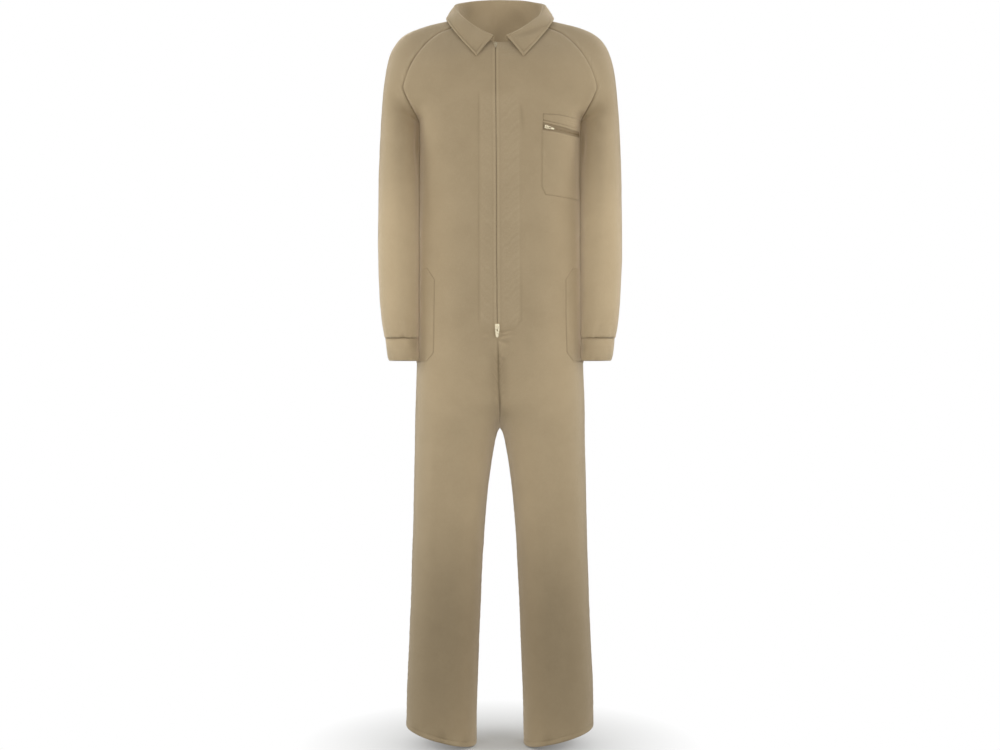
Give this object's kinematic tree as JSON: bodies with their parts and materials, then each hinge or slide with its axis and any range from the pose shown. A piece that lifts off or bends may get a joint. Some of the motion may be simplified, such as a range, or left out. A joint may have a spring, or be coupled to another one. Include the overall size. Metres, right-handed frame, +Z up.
{
  "type": "boiler suit",
  "caption": "One-piece work overall with raglan sleeves, shirt collar, two-way front zip and patch pockets, filled out with no wearer.",
  "frame": {"origin": "in the middle of the neck opening, level with the top of the shoulders, where a hanger or a wearer's neck holds the suit up", "axes": "+Z up along the body, -Y out of the front with the zip, +X towards the wearer's left"},
  "size_m": [0.5278, 0.2937, 1.6574],
  "materials": {
    "twill": "matte cotton twill",
    "zip_tape": "woven polyester tape",
    "brass": "pale antique brass, satin"
  },
  "bodies": {
    "suit": {"front_left": "twill", "front_left_leg": "twill", "front_right": "twill", "front_right_leg": "twill", "back_left": "twill", "back_left_leg": "twill", "back_right": "twill", "back_right_leg": "twill", "sleeve_left": "twill", "sleeve_right": "twill", "cuff_left": "twill", "cuff_right": "twill", "collar": "twill", "hip_pocket_left": "twill", "hip_pocket_right": "twill", "chest_pocket": "twill", "chest_pocket_top": "twill", "front_zip_tape": "zip_tape", "chest_zip_tape": "zip_tape", "front_zip_slider_bottom": "brass", "front_zip_slider_top": "brass", "chest_zip_slider": "brass"},
    "bottom_pull": {"front_zip_pull_bottom": "brass"},
    "top_pull": {"front_zip_pull_top": "brass"},
    "chest_pull": {"chest_zip_pull": "brass"}
  },
  "joints": [
    {"name": "bottom_pull_hinge", "type": "hinge", "parent": "suit", "child": "bottom_pull", "pos_m": [-0.00581, -0.13496, -0.67701], "axis": [-1, 0.0038, 0], "range_deg": [0, 150]},
    {"name": "top_pull_hinge", "type": "hinge", "parent": "suit", "child": "top_pull", "pos_m": [-0.00966, -0.08455, -0.0678], "axis": [-0.9998, -0.0205, 0], "range_deg": [0, 150]},
    {"name": "chest_pull_hinge", "type": "hinge", "parent": "suit", "child": "chest_pull", "pos_m": [0.09961, -0.13004, -0.25493], "axis": [-0.2364, -0.0135, -0.9716], "range_deg": [0, 150]}
  ]
}
